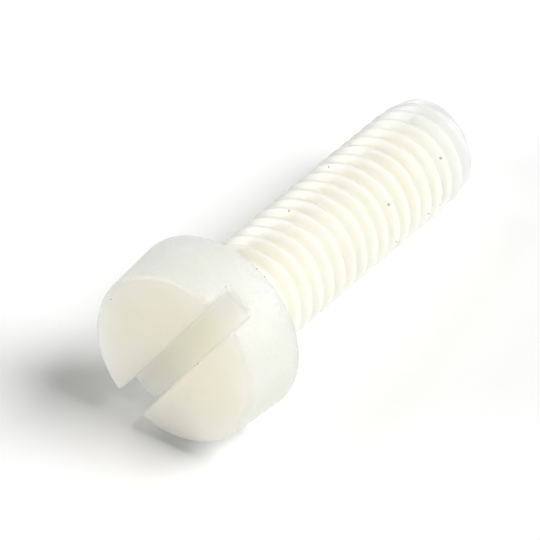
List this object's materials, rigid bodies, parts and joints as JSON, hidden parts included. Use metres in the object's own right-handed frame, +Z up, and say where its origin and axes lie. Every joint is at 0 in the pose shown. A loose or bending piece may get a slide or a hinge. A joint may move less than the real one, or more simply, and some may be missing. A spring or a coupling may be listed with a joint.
{
  "type": "slotted screw",
  "caption": "Slotted cheese head machine screw in translucent natural nylon, with a right-hand thread up to a short plain neck and a shallow lead-in cone at the tip, lying on its side.",
  "frame": {"origin": "middle of the outline's base, on the ground that the screw lies on", "axes": "+Y runs level from the head to the tip, above the ground line of the screw's axis; +Z is up; +X completes the right-handed frame. The screw's own axis dips 6.3 degrees towards the tip, because the head is wider than the shank"},
  "size_m": [0.0098, 0.0242, 0.0099],
  "materials": {
    "nylon": "satin"
  },
  "bodies": {
    "root": {"screw": "nylon"}
  },
  "joints": []
}
